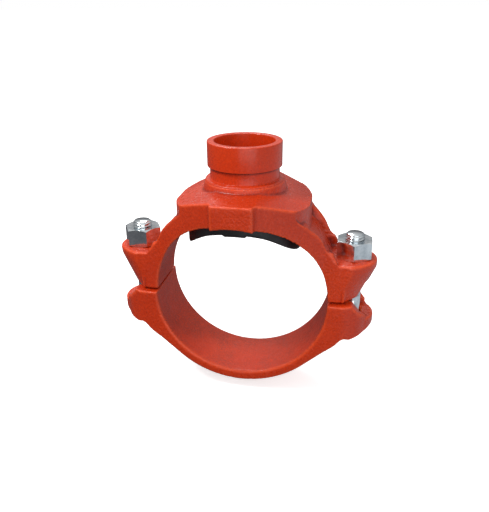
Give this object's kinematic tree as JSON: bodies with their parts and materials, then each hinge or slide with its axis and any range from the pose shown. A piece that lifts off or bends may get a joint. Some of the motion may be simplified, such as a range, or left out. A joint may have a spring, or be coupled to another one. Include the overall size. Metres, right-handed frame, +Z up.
{
  "type": "mechanical tee",
  "caption": "Two-piece bolted pipe saddle with a grooved branch outlet, an outlet gasket and track bolts, for tapping a branch off a run pipe.",
  "frame": {"origin": "where the run pipe's axis meets the outlet's axis, in the middle of the run bore", "axes": "+Z up along the outlet, +Y along the run pipe's axis, +X through the right bolt"},
  "size_m": [0.177, 0.0942, 0.1668],
  "materials": {
    "housing_paint": "orange-red gloss paint on a ductile-iron casting",
    "gasket_rubber": "moulded black rubber",
    "bolt_zinc": "bright zinc-plated steel"
  },
  "bodies": {
    "upper_half": {"upper_housing": "housing_paint", "outlet_gasket": "gasket_rubber"},
    "lower_half": {"lower_housing": "housing_paint", "track_bolt_left": "bolt_zinc", "track_bolt_right": "bolt_zinc"},
    "left_nut": {"nut_left": "bolt_zinc"},
    "right_nut": {"nut_right": "bolt_zinc"}
  },
  "joints": [
    {"name": "lower_half_slide", "type": "slide", "parent": "upper_half", "child": "lower_half", "axis": [0, 0, -1], "range_m": [-0.0013, 0.008]},
    {"name": "left_nut_turn", "type": "hinge", "parent": "upper_half", "child": "left_nut", "pos_m": [-0.073, 0, 0.033], "axis": [0, 0, 1], "range_deg": [-240, 1474.5]},
    {"name": "right_nut_turn", "type": "hinge", "parent": "upper_half", "child": "right_nut", "pos_m": [0.073, 0, 0.033], "axis": [0, 0, 1], "range_deg": [-240, 1474.5]}
  ],
  "couplings": [
    {"joint": "left_nut_turn", "follows": "lower_half_slide", "rad_per_m": 3215.8},
    {"joint": "right_nut_turn", "follows": "lower_half_slide", "rad_per_m": 3215.8}
  ]
}
